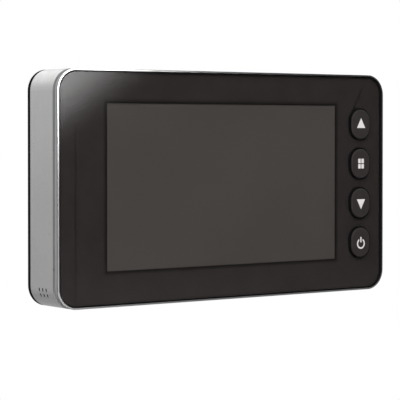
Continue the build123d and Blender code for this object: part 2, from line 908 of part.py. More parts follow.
def pocket_outline(radius):
    """The barrel pocket's outline, stretched down by the travel of the lift."""
    return pill(2 * radius, 2 * radius + lift_travel, 0, -lift_travel / 2)


def grille():
    """The speaker's holes through the cover, in rings round a middle hole."""
    holes = [Pos(speaker_x, speaker_z) * Circle(grille_hole_radius)]
    for ring in range(1, grille_rings + 1):
        count = grille_holes_per_ring * ring
        for hole in range(count):
            turn = 2 * math.pi * hole / count
            across = grille_ring_step * ring
            place = Pos(speaker_x + across * math.cos(turn), speaker_z + across * math.sin(turn))
            holes.append(place * Circle(grille_hole_radius))
    return layer(Sketch() + holes, band_rear_y - cut_overrun, cover_rear_y + cut_overrun)


def speaker():
    """The round speaker, with its dished front towards the door and its magnet behind."""
    front = band_rear_y - seat_gap
    rim = front - speaker_rim
    magnet = rim - speaker_magnet_depth
    dish_radius = speaker_radius - speaker_dish
    profile = [
        (0, magnet),
        (speaker_magnet_radius, magnet),
        (speaker_magnet_radius, rim),
        (speaker_radius, rim),
        (speaker_radius, front),
        (dish_radius, front),
        (dish_radius - 2 * speaker_dish, front - speaker_dish),
        (0, front - speaker_dish / 2),
    ]
    return Pos(speaker_x, 0, speaker_z) * turned(profile)


def case_screws():
    """The screws that pull the rear cover, band and front bezel together."""
    screws = []
    for x, z in case_screw_places:
        tip_y = screen_rear_y - screw_reach + seat_gap
        head_y = screw_seat_y + screw_head_height
        screw = disc(screw_shank_radius, tip_y, screw_seat_y, x, z)
        screw += disc(screw_head_radius, screw_seat_y, head_y, x, z)
        socket = Pos(x, z) * RegularPolygon(screw_socket_radius, 6)
        screws.append(screw - layer(socket, head_y - screw_socket_depth, head_y + cut_overrun))
    return Compound(children=screws)


def rear_pads():
    """Four foam pads that keep the cover off the door."""
    return Compound(
        children=[
            layer(Pos(x, z) * RectangleRounded(pad_width, pad_height, pad_corner), cover_rear_y, 0)
            for x in (-pad_x, pad_x)
            for z in (-pad_z, pad_z)
        ]
    )


def hook_places():
    """Each hook's place along X and the level of its lower edge."""
    return [(x, level) for x in (-hook_x, hook_x) for level in hook_levels]


def door_bracket():
    """The steel plate on the door, with four upturned hooks and two screw holes."""
    plate = layer(RectangleRounded(bracket_width, bracket_height, bracket_corner), -bracket_thickness, 0)
    plate -= disc(barrel_radius + running_gap, -bracket_thickness - cut_overrun, cut_overrun)
    sink_depth = bracket_screw_head_radius - bracket_screw_radius
    screw_level = bracket_height / 2 - bracket_screw_inset
    for z in (-screw_level, screw_level):
        plate -= disc(bracket_screw_radius, -bracket_thickness - cut_overrun, cut_overrun, 0, z)
        sink = turned(
            [
                (0, -bracket_thickness),
                (bracket_screw_head_radius, -bracket_thickness),
                (bracket_screw_radius, -bracket_thickness + sink_depth),
                (0, -bracket_thickness + sink_depth),
            ]
        )
        plate -= Pos(0, 0, z) * sink
    tongue_y = dish_front_y - seat_gap
    tip_y = tongue_y - hook_tongue
    for x, level in hook_places():
        width = about(x, hook_width)
        plate += block(width, (tip_y, -bracket_thickness), (level, level + hook_thickness))
        plate += block(width, (tip_y, tongue_y), (level, level + lift_travel))
    return plate


def clamp_nut():
    """The round nut, with grip notches, that clamps the bracket on the barrel."""
    rear_y = -bracket_thickness
    nut = disc(nut_radius, rear_y - nut_thickness, rear_y)
    nut = chamfer(end_edges(nut, 0), nut_chamfer)
    through = (rear_y - nut_thickness - cut_overrun, rear_y + cut_overrun)
    nut -= disc(barrel_radius + shaft_clearance, *through)
    for place in PolarLocations(nut_radius, nut_grip_count):
        nut -= layer(place * Circle(nut_grip_radius), *through)
    return nut


def barrel_tube():
    """The tube through the door: thread rings, plain shank and a flange inside the head."""
    root = barrel_radius - thread_depth
    profile = [(barrel_bore_radius, -barrel_inner_end), (root, -barrel_inner_end)]
    for turn in range(thread_turns):
        start = -barrel_inner_end + thread_pitch * turn
        profile.append((barrel_radius, start + thread_pitch / 2))
        profile.append((root, start + thread_pitch))
    thread_end = -barrel_inner_end + thread_pitch * thread_turns
    flange_front = head_floor_y + barrel_flange_thickness
    profile += [
        (barrel_radius, thread_end),
        (barrel_radius, head_floor_y),
        (barrel_flange_radius, head_floor_y),
        (barrel_flange_radius, flange_front),
        (barrel_bore_radius, flange_front),
    ]
    return turned(profile)


def outdoor_gasket():
    """The rubber ring between the head and the door."""
    ring = Circle(head_radius - gasket_inset) - Circle(barrel_radius + running_gap)
    return layer(ring, door_thickness, head_rear_y)


def outdoor_housing():
    """The head's round cup, with the barrel's hole and two board posts."""
    cup = disc(head_radius, head_rear_y, head_front_y)
    cup = fillet(end_edges(cup, -1), head_fillet)
    cup -= disc(head_inner_radius, head_floor_y, head_front_y + cut_overrun)
    cup -= disc(barrel_radius + shaft_clearance, head_rear_y - cut_overrun, head_floor_y + cut_overrun)
    for x, z in head_post_places:
        cup += disc(head_post_radius, head_floor_y, head_board_y, x, z)
        cup -= disc(board_screw_shank + shaft_clearance, head_rear_y + cut_overrun, head_board_y, x, z)
    return cup


def faceplate():
    """The head's glossy front, with openings for the lens, the lamps and the bell button."""
    plate = disc(head_inner_radius - faceplate_gap, faceplate_rear_y, head_front_y)
    through = (faceplate_rear_y - cut_overrun, head_front_y + cut_overrun)
    plate -= disc(lens_barrel_radius + faceplate_gap, *through, 0, lens_z)
    plate -= disc(bell_radius + running_gap, *through, 0, bell_z)
    for x, z in led_places():
        plate -= disc(led_radius + faceplate_gap, *through, x, z)
    return plate


def led_places():
    """The night lamps, two each side of the lens."""
    return [(x, z) for x in (-led_x, led_x) for z in about(led_z, led_spacing)]


def infrared_leds():
    """Four night lamps with round tips, standing on the head's board."""
    lamps = []
    for x, z in led_places():
        tip_y = head_board_front_y + led_straight
        tip = Pos(x, tip_y, z) * Sphere(led_radius)
        lamps.append(disc(led_radius, head_board_front_y, tip_y, x, z) + tip)
    return Compound(children=lamps)


def outdoor_board():
    """The head's round circuit board, with a hole for the lead."""
    board = disc(head_board_radius, head_board_y, head_board_front_y)
    through = (head_board_y - cut_overrun, head_board_front_y + cut_overrun)
    for x, z in head_post_places:
        board -= disc(board_screw_shank + seat_gap, *through, x, z)
    return board


def outdoor_screws():
    """The screws that hold the head's board."""
    return Compound(children=[board_screw(x, head_board_front_y, z) for x, z in head_post_places])


def image_sensor():
    """The camera's sensor, on the head's board behind the lens."""
    span = (head_board_front_y, head_board_front_y + sensor_height)
    return block(about(0, sensor_size), span, about(lens_z, sensor_size))


def lens_barrel():
    """The tube that carries the lens."""
    near_y = head_board_front_y + sensor_height
    far_y = lens_ring_front_y - lens_recess
    tube = disc(lens_barrel_radius, near_y, far_y, 0, lens_z)
    return tube - disc(lens_radius, near_y - cut_overrun, far_y + cut_overrun, 0, lens_z)


def lens_glass():
    """The domed front lens."""
    peak_y = lens_ring_front_y - lens_recess
    rod = disc(lens_radius, peak_y - lens_thickness, peak_y, 0, lens_z)
    return rod & Pos(0, peak_y - lens_dome_radius, lens_z) * Sphere(lens_dome_radius)


def lens_ring():
    """The bright ring round the lens, on the faceplate."""
    ring = disc(lens_ring_radius, head_front_y, lens_ring_front_y, 0, lens_z)
    ring = chamfer(end_edges(ring, -1), lens_ring_chamfer)
    bore = lens_barrel_radius + faceplate_gap
    return ring - disc(bore, head_front_y - cut_overrun, lens_ring_front_y + cut_overrun, 0, lens_z)


def bell_button():
    """The visitor's push button, kept in by its flange."""
    cap = disc(bell_radius, bell_flange_y, head_front_y + bell_rise, 0, bell_z)
    cap = fillet(end_edges(cap, -1), bell_fillet)
    return cap + disc(bell_radius + bell_flange, bell_rear_y, bell_flange_y, 0, bell_z)


def bell_plunger():
    """The plunger between the bell button and its switch."""
    low_y = head_board_front_y + bell_switch_floor + bell_travel + seat_gap
    return disc(bell_plunger_radius, low_y, bell_rear_y, 0, bell_z)


def bell_switch():
    """The bell button's switch, on the head's board."""
    top_y = head_board_front_y + bell_switch_height
    body = block(about(0, bell_switch_size), (head_board_front_y, top_y), about(bell_z, bell_switch_size))
    bore = bell_plunger_radius + seat_gap
    return body - disc(bore, head_board_front_y + bell_switch_floor, top_y + cut_overrun, 0, bell_z)


single_parts = [
    front_glass,
    glass_film,
    front_bezel,
    side_band,
    microphone,
    screen_frame,
    screen_panel,
    backlight,
    screen_ribbon,
    ribbon_socket,
    button_switches,
    chassis,
    main_board,
    board_screws,
    processor_chip,
    memory_chips,
    power_coils,
    camera_socket,
    card_socket,
    memory_card,
    battery_cells,
    battery_springs,
    battery_plates,
    battery_lid,
    rear_cover,
    speaker,
    case_screws,
    rear_pads,
    door_bracket,
    clamp_nut,
    barrel_tube,
    outdoor_gasket,
    outdoor_housing,
    faceplate,
    infrared_leds,
    outdoor_board,
    outdoor_screws,
    image_sensor,
    lens_barrel,
    lens_glass,
    lens_ring,
    bell_button,
    bell_plunger,
    bell_switch,
]

os.makedirs("parts", exist_ok=True)
for make in single_parts:
    export_step(make(), f"parts/{make.__name__}.step")
for name, level in zip(button_names, button_levels):
    icon = button_icon(name, level)
    export_step(button_cap(level, icon), f"parts/{name}_button.step")
    export_step(icon, f"parts/{name}_icon.step")
    export_step(button_plunger(level), f"parts/{name}_plunger.step")
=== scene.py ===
import bpy
import json
import math
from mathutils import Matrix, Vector


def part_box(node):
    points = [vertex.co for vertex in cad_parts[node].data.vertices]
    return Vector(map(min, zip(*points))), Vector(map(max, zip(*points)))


# Looks for the door camera: a finish for every node of the frame, soft studio light and a
# camera at the photograph's angle. The nodes are the whole object, and nothing is added to
# it here. Sizes are in metres.
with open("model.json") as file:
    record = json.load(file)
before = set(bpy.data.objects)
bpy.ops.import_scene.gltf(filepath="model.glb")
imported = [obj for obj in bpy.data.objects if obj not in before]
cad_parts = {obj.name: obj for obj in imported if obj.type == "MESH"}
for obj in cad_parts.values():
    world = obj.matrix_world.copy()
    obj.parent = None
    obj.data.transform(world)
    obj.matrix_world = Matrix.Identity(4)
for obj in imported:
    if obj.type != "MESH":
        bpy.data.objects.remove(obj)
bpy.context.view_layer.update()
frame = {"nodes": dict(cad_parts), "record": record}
MM = 0.001

# Camera, as the photograph's perspective gives it
CAMERA_PLACE = (-0.3606, -0.4898, 0.0184)
CAMERA_TURN = math.radians(36.41)
CAMERA_DIP = math.radians(1.09)
CAMERA_SHIFT = -0.089
LENS = 158.6
SENSOR = 36.0

# Places read from the frame. Y grows from the room towards the outdoor head, and the door's
# indoor face is at 0.
BEZEL_LOW, BEZEL_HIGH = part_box("front_bezel")
PANEL_LOW, PANEL_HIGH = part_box("screen_panel")
GLASS_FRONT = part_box("front_glass")[0][1]
BAND_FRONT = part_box("side_band")[0][1]
DOOR_FACE = 0.0

# Sizes of the monitor's front, as the part is built
SCREEN_BORDER = 1.8 * MM
OUTLINE_RADIUS = 7.0 * MM
LIP_WIDTH = 0.55 * MM
LIP_DEPTH = 1.25 * MM
LIP_REAR = BEZEL_LOW[1] + LIP_DEPTH

# Where a finish changes into its second one, or into painted shade and painted light, each
# as a start and an end. AFTER and BEFORE are places along Y, INWARDS counts from the
# monitor's outline, WINDOW_FRAME outwards from the screen's window, and TURN is the Y of the
# surface's direction, -1 in front and 1 behind (for the glass's edge without its sign).
BORES_AFTER = (BAND_FRONT + 0.3 * MM, BAND_FRONT + 0.4 * MM)
BORES_BEFORE = (DOOR_FACE - 0.5 * MM, DOOR_FACE)
BORES_INWARDS = (0.08 * MM, 0.12 * MM)
BAND_TURN = (-0.9, -0.8)
LIP_INWARDS = (LIP_WIDTH - 0.03 * MM, LIP_WIDTH - 0.01 * MM)
LIP_TURN = (-0.6, -0.5)
GROOVE_AFTER = (LIP_REAR - 0.45 * MM, LIP_REAR - 0.3 * MM)
GLASS_FACE_BEFORE = (GLASS_FRONT + 0.4 * MM, GLASS_FRONT + 0.5 * MM)
GLASS_EDGE_TURN = (0.3, 0.4)
WINDOW_FRAME = (0.4 * MM, 1.6 * MM)
CAP_SUNK_AFTER = (GLASS_FRONT, GLASS_FRONT + 0.1 * MM)
COVER_BACK_TURN = (0.5, 0.9)

# Second colours of the finishes, and the colours of painted shade and painted light
# Painted shade: black on the walls of the bores in the side band
BORE_PAINTED_SHADE = (0.01, 0.01, 0.01)
# Painted shade: black on the lip's inner walls and ledge, for the gap round the glass
LIP_GAP_SHADE = (0.018, 0.018, 0.018)
# Painted shade on the lip's side and painted light on the groove's floor: two tones of the one
# satin metal
LIP_SIDE_PAINTED_SHADE = (0.185, 0.185, 0.187)
GROOVE_PAINTED_LIGHT = (0.42, 0.42, 0.42)
TRACE_GREEN = (0.03, 0.16, 0.07)
RING_COPPER = (0.45, 0.26, 0.12)
# Painted shade: black on the caps' sides below the glass's front
CAP_SIDE_SHADE = (0.002, 0.002, 0.002)
# The cover's back tone; its sides keep a darker tone as painted shade
COVER_BACK = (0.026, 0.026, 0.027)

# Metal shares of the satin finish, in front and on the walls; roughness of the bezel
FRONT_METAL = 0.3
WALL_METAL = 0.95
LIP_POLISH = 0.14
BEZEL_SATIN = 0.42

# Shine of the cover's back, and the painted shade round the window: the black print's tone
# there, times its own
BACK_SHINE = 0.4
WINDOW_PAINTED_SHADE = 0.4

# Copper rings on the cells: half the distance between two, where a ring ends, and a lift
# that keeps all levels above zero
RING_STEP = 8 * MM
RING_END = (0.9 * MM, 1.0 * MM)
RING_LIFT = 1.0

# Traces of the circuit boards: spacing and width, the width in spacings
TRACE_SPACING = 5 * MM
TRACE_WIDTH = 0.05

# Foam: size of a pore, where its wall is reached, and the tone factors of the painted shade in a
# pore and the painted light on its walls
PORE_SIZE = 0.45 * MM
PORE_WALL = (0.0, 0.6)
PORE_PAINTED_SHADE = 0.5
WALL_PAINTED_LIGHT = 1.6

# The middle of the noise's range, which patches in colour and in gloss are drawn from
COLOR_PATCHES = (0.35, 0.65)
GLOSS_PATCHES = (0.3, 0.7)

# Glass: the share that it mirrors when seen head on, and how that grows at a slant
GLASS_MIRROR = 0.04
GRAZING_POWER = 5.0
# Smudges on it weaken and strengthen the mirroring by these factors
SMUDGES = (0.95, 1.05)

# Moulded plastics: colour and roughness, then the grain's size and depth, then the shine
MOULDED = {
    "black_plastic": ((0.018, 0.018, 0.019), 0.5),
    "light_guide": ((0.75, 0.77, 0.78), 0.3, 1.0 * MM, 0.004 * MM),
    "ribbon": ((0.42, 0.20, 0.05), 0.4, 0.8 * MM, 0.004 * MM),
    "socket_plastic": ((0.62, 0.59, 0.52), 0.45),
    "switch_body": ((0.03, 0.03, 0.03), 0.45),
    "chip": ((0.022, 0.022, 0.024), 0.55, 0.2 * MM, 0.006 * MM),
    "card_plastic": ((0.025, 0.025, 0.028), 0.4),
    "lamp_lens": ((0.05, 0.03, 0.06), 0.12, 2 * MM, 0.001 * MM, 0.8),
}

# Metals: colour, roughness and how much the grain is drawn together along each axis
ROLLED = (1, 1, 12)
TURNED = (1, 1, 1)
METALS = {
    "steel": ((0.55, 0.55, 0.56), 0.35, ROLLED),
    "dark_screw": ((0.06, 0.06, 0.065), 0.35, TURNED),
    "bracket_steel": ((0.52, 0.53, 0.54), 0.38, ROLLED),
    "plated_brass": ((0.62, 0.61, 0.58), 0.25, TURNED),
}

# Floor
FLOOR_LEVEL = -0.2
FLOOR_FADE = 0.3
FLOOR_RADIUS = 0.65
FLOOR_SIDES = 128

# How bright the room is: its light on the object, and the room itself where it is seen
ROOM_LIGHT = 0.45
ROOM_SEEN = 1.0

# Glows of the cards. Each glow is (across, up, start, end, from, to): the place along the
# line (across, up) where it starts and ends, and its strength there.
FRONT_GLOW = [
    (0.62, 0.784, 0.067, 0.112, 0.03, 7.7),
    (0, -1, 0.04, 0.10, 0.0, 0.25),
    (1, 0, 0.112, 0.125, 0.0, 1.4),
]
REAR_GLOW = [(1, 0, -1.11, -0.78, 0.90, 2.4), (1, 0, -0.3, 0.1, 0.0, -0.9)]
LEFT_GLOW = [(0, 1, -0.08, 0.04, 0.2, 0.25)]
TOP_GLOW = [(1, 0, -0.28, 0.28, 0.05, 0.05)]
FOOT_GLOW = [(1, 0, -0.28, 0.28, 0.25, 0.25)]
# Where the front card's glow gives way to the room: (across start, end, up start, end)
FRONT_WINDOW = (0.145, 0.19, 0.10, 0.15)

# Soft boxes, all turned to the middle: place, width, height and power in watts
MIDDLE = (0, 0, 0)
SOFT_BOXES = {
    "top_box": ((-0.35, -0.6, 0.6), 0.6, 0.6, 3.5),
    "left_box": ((-0.75, -0.55, 0.35), 0.5, 0.6, 6.0),
    "rear_box": ((0.45, 0.75, 0.5), 0.6, 0.6, 4.0),
}

# Cards: place, the point that they face, width, height, glow and window
CARDS = {
    "front_card": ((0.32, -0.43, 0.0), MIDDLE, 1.0, 0.9, FRONT_GLOW, FRONT_WINDOW),
    "rear_card": ((0.35, 0.9, 0.45), (0.35, 0, 0.45), 2.1, 0.9, REAR_GLOW),
    "left_card": ((-0.66, -0.41, 0.0), MIDDLE, 0.5, 0.5, LEFT_GLOW),
    "top_card": ((0.62, 0.02, 0.60), (0.62, 0.02, 0), 0.56, 0.8, TOP_GLOW),
    "foot_card": ((0.12, 0.02, -0.19), (0.12, 0.02, 0), 0.36, 0.3, FOOT_GLOW),
}


class Look:
    """A material under construction, with its node tree and its Principled shader."""

    def __init__(self, name, color, rough, metal=0.0):
        self.material = bpy.data.materials.new(name)
        self.material.use_nodes = True
        self.tree = self.material.node_tree
        self.shader = self.tree.nodes["Principled BSDF"]
        self.output = self.tree.nodes["Material Output"]
        self.shader.inputs["Base Color"].default_value = (*color, 1.0)
        self.shader.inputs["Roughness"].default_value = rough
        self.shader.inputs["Metallic"].default_value = metal
        self.color = color
        self.rough = rough
        self.place = None

    def add(self, kind, **settings):
        """A new node with its settings."""
        node = self.tree.nodes.new(kind)
        for name, value in settings.items():
            setattr(node, name, value)
        return node

    def link(self, source, target):
        """Joins two sockets."""
        self.tree.links.new(source, target)

    def drive(self, name, value):
        """Takes one of the shader's inputs from a socket."""
        self.link(value, self.shader.inputs[name])

    def paint(self, color):
        """Takes the colour from a socket."""
        self.drive("Base Color", color)

    def shine(self, level):
        """Sets how strongly a surface that isn't metal mirrors."""
        self.shader.inputs["Specular IOR Level"].default_value = level

    def coat(self, weight, rough):
        """Adds a clear coat."""
        self.shader.inputs["Coat Weight"].default_value = weight
        self.shader.inputs["Coat Roughness"].default_value = rough

    def mix(self, share, first, second):
        """Mixes two shaders and makes the result the material's surface."""
        node = self.add("ShaderNodeMixShader")
        self.link(share, node.inputs["Fac"])
        self.link(first.outputs[0], node.inputs[1])
        self.link(second.outputs[0], node.inputs[2])
        self.link(node.outputs[0], self.output.inputs["Surface"])
        return node

    def surface(self):
        """The node that gives the point on the surface and its smoothed direction."""
        if self.place is None:
            self.place = self.add("ShaderNodeTexCoord")
        return self.place

    def coordinates(self):
        """The point on the surface in the row frame, in metres."""
        return self.surface().outputs["Object"]

    def part(self, vector, name):
        """One coordinate of a vector."""
        node = self.add("ShaderNodeSeparateXYZ")
        self.link(vector, node.inputs[0])
        return node.outputs[name]

    def axis(self, name):
        """One coordinate of the point."""
        return self.part(self.coordinates(), name)

    def turned(self, start, end):
        """A node that turns a direction from one space to another."""
        return self.add("ShaderNodeVectorTransform", vector_type="NORMAL",
                        convert_from=start, convert_to=end)

    def facing(self, name):
        """One coordinate of the surface's own direction, without smoothing."""
        turn = self.turned("WORLD", "OBJECT")
        self.link(self.add("ShaderNodeNewGeometry").outputs["True Normal"], turn.inputs[0])
        return self.part(turn.outputs[0], name)

    def smooth_facing(self, name):
        """One coordinate of the surface's smoothed direction."""
        return self.part(self.surface().outputs["Normal"], name)

    def face_forwards(self, *shaders):
        """Shades as facing forwards, so that long thin triangles leave no streaks."""
        turn = self.turned("OBJECT", "WORLD")
        turn.inputs[0].default_value = (0.0, -1.0, 0.0)
        for shader in shaders:
            self.link(turn.outputs[0], shader.inputs["Normal"])

    def fill(self, node, *values):
        """Fills a node's inputs in turn, each from a socket or a plain value."""
        for socket, value in zip(node.inputs, values):
            if isinstance(value, bpy.types.NodeSocket):
                self.link(value, socket)
            else:
                socket.default_value = value

    def number(self, operation, first, second=0.0):
        """Arithmetic with two numbers, each a socket or a plain number."""
        node = self.add("ShaderNodeMath", operation=operation)
        self.fill(node, first, second)
        return node.outputs[0]

    def product(self, first, *others):
        """The product of several numbers."""
        for other in others:
            first = self.number("MULTIPLY", first, other)
        return first

    def vector(self, operation, first, second=(0, 0, 0)):
        """Arithmetic with two vectors, each a socket or a plain vector."""
        node = self.add("ShaderNodeVectorMath", operation=operation)
        self.fill(node, first, second)
        return node.outputs["Value" if operation == "LENGTH" else "Vector"]

    def spread(self, value, low, high, start=0.0, end=1.0):
        """A value between start and end, mapped between low and high."""
        node = self.add("ShaderNodeMapRange")
        node.inputs["From Min"].default_value = start
        node.inputs["From Max"].default_value = end
        node.inputs["To Min"].default_value = low
        node.inputs["To Max"].default_value = high
        self.link(value, node.inputs["Value"])
        return node.outputs["Result"]

    def rise(self, value, start, end):
        """A share that rises from 0 at start to 1 at end."""
        return self.spread(value, 0.0, 1.0, start, end)

    def fall(self, value, start, end):
        """A share that falls from 1 at start to 0 at end."""
        return self.spread(value, 1.0, 0.0, start, end)

    def smooth_rise(self, value, start, end):
        """A share that rises from 0 to 1 without a kink at either end."""
        share = self.rise(value, start, end)
        share.node.interpolation_type = "SMOOTHSTEP"
        return share

    def blend(self, share, first, second):
        """A mix of two colours, each a socket or a colour."""
        node = self.add("ShaderNodeMix", data_type="RGBA")
        self.link(share, node.inputs["Factor"])
        for index, value in ((6, first), (7, second)):
            if isinstance(value, tuple):
                node.inputs[index].default_value = (*value, 1.0)
            else:
                self.link(value, node.inputs[index])
        return node.outputs[2]

    def tone(self, factor):
        """The base colour times a factor."""
        return tuple(min(1.0, part * factor) for part in self.color)

    def noise(self, size, detail=2.0, stretch=(1, 1, 1)):
        """Soft noise with patches of a size in metres."""
        mapping = self.add("ShaderNodeMapping")
        mapping.inputs["Scale"].default_value = stretch
        self.link(self.coordinates(), mapping.inputs["Vector"])
        node = self.add("ShaderNodeTexNoise")
        node.inputs["Scale"].default_value = 1 / size
        node.inputs["Detail"].default_value = detail
        self.link(mapping.outputs["Vector"], node.inputs["Vector"])
        return node.outputs["Fac"]

    def mottle(self, size, amount, detail=3.0, stretch=(1, 1, 1)):
        """Lighter and darker patches in the colour."""
        patches = self.rise(self.noise(size, detail, stretch), *COLOR_PATCHES)
        return self.blend(patches, self.tone(1 - amount), self.tone(1 + amount))

    def wear(self, size, amount, detail=3.0, stretch=(1, 1, 1)):
        """Smoother and rougher patches."""
        patches = self.noise(size, detail, stretch)
        self.drive("Roughness", self.spread(patches, self.rough - amount, self.rough + amount,
                                            *GLOSS_PATCHES))

    def relief(self, value, depth):
        """Bumps of a depth in metres."""
        bump = self.add("ShaderNodeBump")
        bump.inputs["Strength"].default_value = 1.0
        bump.inputs["Distance"].default_value = depth
        self.link(value, bump.inputs["Height"])
        self.drive("Normal", bump.outputs["Normal"])

    def inset(self):
        """How far the point lies inside the monitor's rounded outline."""
        half = (BEZEL_HIGH[0] - OUTLINE_RADIUS, 0.0, BEZEL_HIGH[2] - OUTLINE_RADIUS)
        flat = self.vector("MULTIPLY", self.coordinates(), (1.0, 0.0, 1.0))
        past = self.vector("SUBTRACT", self.vector("ABSOLUTE", flat), half)
        corner = self.vector("LENGTH", self.vector("MAXIMUM", past, (0.0, 0.0, 0.0)))
        side = self.number("MAXIMUM", self.part(past, "X"), self.part(past, "Z"))
        reach = self.number("ADD", corner, self.number("MINIMUM", side, 0.0))
        return self.number("SUBTRACT", OUTLINE_RADIUS, reach)


def satin_metal():
    """Fine blasted silver paint on the side band and the outdoor housing, with painted shade:
    the bores' walls are painted black.
    """
    look = Look("satin_metal", (0.288, 0.287, 0.286), rough=0.3, metal=WALL_METAL)
    walls = look.rise(look.facing("Y"), *BAND_TURN)
    bores = look.product(look.rise(look.axis("Y"), *BORES_AFTER),
                         look.fall(look.axis("Y"), *BORES_BEFORE),
                         look.rise(look.inset(), *BORES_INWARDS))
    # painted shade: the bores' walls turn black
    look.paint(look.blend(bores, look.mottle(9 * MM, 0.02), BORE_PAINTED_SHADE))
    look.wear(3 * MM, 0.03)
    look.drive("Metallic", look.spread(walls, FRONT_METAL, WALL_METAL))
    return look.material


def bezel_metal():
    """The bezel: satin grey, polished in front. Inside its lip it is painted black as the shade
    of the gap round the glass, and its lip side and groove floor carry painted shade and painted
    light.
    """
    look = Look("bezel_metal", (0.66, 0.66, 0.66), rough=LIP_POLISH, metal=1.0)
    inner = look.rise(look.inset(), *LIP_INWARDS)
    satin = look.rise(look.facing("Y"), *LIP_TURN)
    groove = look.rise(look.axis("Y"), *GROOVE_AFTER)
    # painted shade on the lip's side, painted light on the groove's floor
    side = look.blend(groove, LIP_SIDE_PAINTED_SHADE, GROOVE_PAINTED_LIGHT)
    metal = look.blend(satin, look.mottle(6 * MM, 0.02), side)
    # painted shade: black inside the lip, in the gap round the glass
    look.paint(look.blend(inner, metal, LIP_GAP_SHADE))
    look.drive("Roughness", look.spread(satin, LIP_POLISH, BEZEL_SATIN))
    look.drive("Metallic", look.spread(inner, 1.0, 0.0))
    look.shine(0.1)
    look.relief(look.noise(0.4 * MM), 0.0005 * MM)
    return look.material


def bright_metal():
    """Polished metal on the lens ring and the bell button."""
    look = Look("bright_metal", (0.36, 0.36, 0.365), rough=0.2, metal=1.0)
    look.paint(look.mottle(5 * MM, 0.03))
    look.wear(2 * MM, 0.05)
    look.relief(look.noise(0.3 * MM, 3.0), 0.0008 * MM)
    return look.material


def front_glass():
    """Clear front glass that reflects the room a little, with blackened edges."""
    look = Look("front_glass", (0.004, 0.004, 0.004), rough=0.5)
    clear = look.add("ShaderNodeBsdfTransparent")
    clear.inputs["Color"].default_value = (0.96, 0.965, 0.965, 1.0)
    gloss = look.add("ShaderNodeBsdfGlossy")
    gloss.inputs["Roughness"].default_value = 0.045
    angle = look.add("ShaderNodeLayerWeight")
    look.face_forwards(angle)
    angle.inputs["Blend"].default_value = 0.5
    grazing = look.number("POWER", angle.outputs["Facing"], GRAZING_POWER)
    share = look.product(look.spread(grazing, GLASS_MIRROR, 1.0),
                         look.spread(look.noise(14 * MM, 4.0), *SMUDGES, *GLOSS_PATCHES),
                         look.fall(look.axis("Y"), *GLASS_FACE_BEFORE))
    pane = look.mix(share, clear, gloss)
    ahead = look.number("MAXIMUM", look.number("ABSOLUTE", look.facing("Y")),
                        look.number("ABSOLUTE", look.smooth_facing("Y")))
    look.mix(look.fall(ahead, *GLASS_EDGE_TURN), pane, look.shader)
    look.paint(look.mottle(4 * MM, 0.1))
    return look.material


def black_film():
    """The black print behind the glass, with painted shade: darker in a soft frame round the
    window, where the screen lies recessed.
    """
    look = Look("black_film", (0.030, 0.0250, 0.0240), rough=0.6)
    look.shine(0.0)
    look.face_forwards(look.shader)
    past = []
    for name, index in (("X", 0), ("Z", 2)):
        place = look.axis(name)
        past.append(look.number("SUBTRACT", PANEL_LOW[index] + SCREEN_BORDER, place))
        past.append(look.number("SUBTRACT", place, PANEL_HIGH[index] - SCREEN_BORDER))
    away = look.number("MAXIMUM", look.number("MAXIMUM", *past[:2]),
                       look.number("MAXIMUM", *past[2:]))
    outside = look.rise(away, *WINDOW_FRAME)
    # painted shade: the print darker in a frame round the window
    look.paint(look.blend(outside, look.tone(WINDOW_PAINTED_SHADE), look.mottle(8 * MM, 0.06)))
    look.wear(4 * MM, 0.05)
    return look.material


def screen():
    """The unlit liquid crystal panel."""
    look = Look("screen", (0.073, 0.0635, 0.0595), rough=0.5)
    look.shine(0.0)
    look.face_forwards(look.shader)
    look.paint(look.mottle(30 * MM, 0.04, 1.0))
    look.wear(6 * MM, 0.04)
    return look.material


def moulded(name, color, rough, grain=0.35 * MM, depth=0.012 * MM, shine=0.5):
    """Moulded plastic with a fine spark-eroded grain."""
    look = Look(name, color, rough=rough)
    look.shine(shine)
    look.paint(look.mottle(7 * MM, 0.06))
    look.wear(2.5 * MM, 0.05)
    look.relief(look.noise(grain, 3.0), depth)
    return look.material


def plain_metal(name, color, rough, stretch):
    """Metal with a fine grain, drawn into lines where it is rolled."""
    look = Look(name, color, rough=rough, metal=1.0)
    look.paint(look.mottle(4 * MM, 0.05, 4.0, stretch))
    look.wear(1.5 * MM, 0.08, 4.0, stretch)
    look.relief(look.noise(0.5 * MM, 4.0, stretch), 0.002 * MM)
    return look.material


def circuit_board():
    """Green solder mask over a raised grid of traces."""
    look = Look("circuit_board", (0.012, 0.085, 0.035), rough=0.35)
    traces = look.add("ShaderNodeTexBrick")
    traces.inputs["Scale"].default_value = 1 / TRACE_SPACING
    traces.inputs["Mortar Size"].default_value = TRACE_WIDTH
    upright = look.add("ShaderNodeMapping")
    upright.inputs["Rotation"].default_value = (math.pi / 2, 0, 0)
    look.link(look.coordinates(), upright.inputs["Vector"])
    look.link(upright.outputs["Vector"], traces.inputs["Vector"])
    look.paint(look.blend(traces.outputs["Fac"], look.mottle(10 * MM, 0.12), TRACE_GREEN))
    look.relief(traces.outputs["Fac"], 0.02 * MM)
    return look.material


def foam():
    """Closed-cell foam with fine pores, painted darker in each pore as shade and lighter on the
    walls as light.
    """
    look = Look("foam", (0.022, 0.022, 0.023), rough=0.95)
    pores = look.add("ShaderNodeTexVoronoi")
    pores.inputs["Scale"].default_value = 1 / PORE_SIZE
    look.link(look.coordinates(), pores.inputs["Vector"])
    shade = look.rise(pores.outputs["Distance"], *PORE_WALL)
    look.paint(look.blend(shade, look.tone(PORE_PAINTED_SHADE), look.tone(WALL_PAINTED_LIGHT)))
    look.relief(pores.outputs["Distance"], 0.05 * MM)
    return look.material


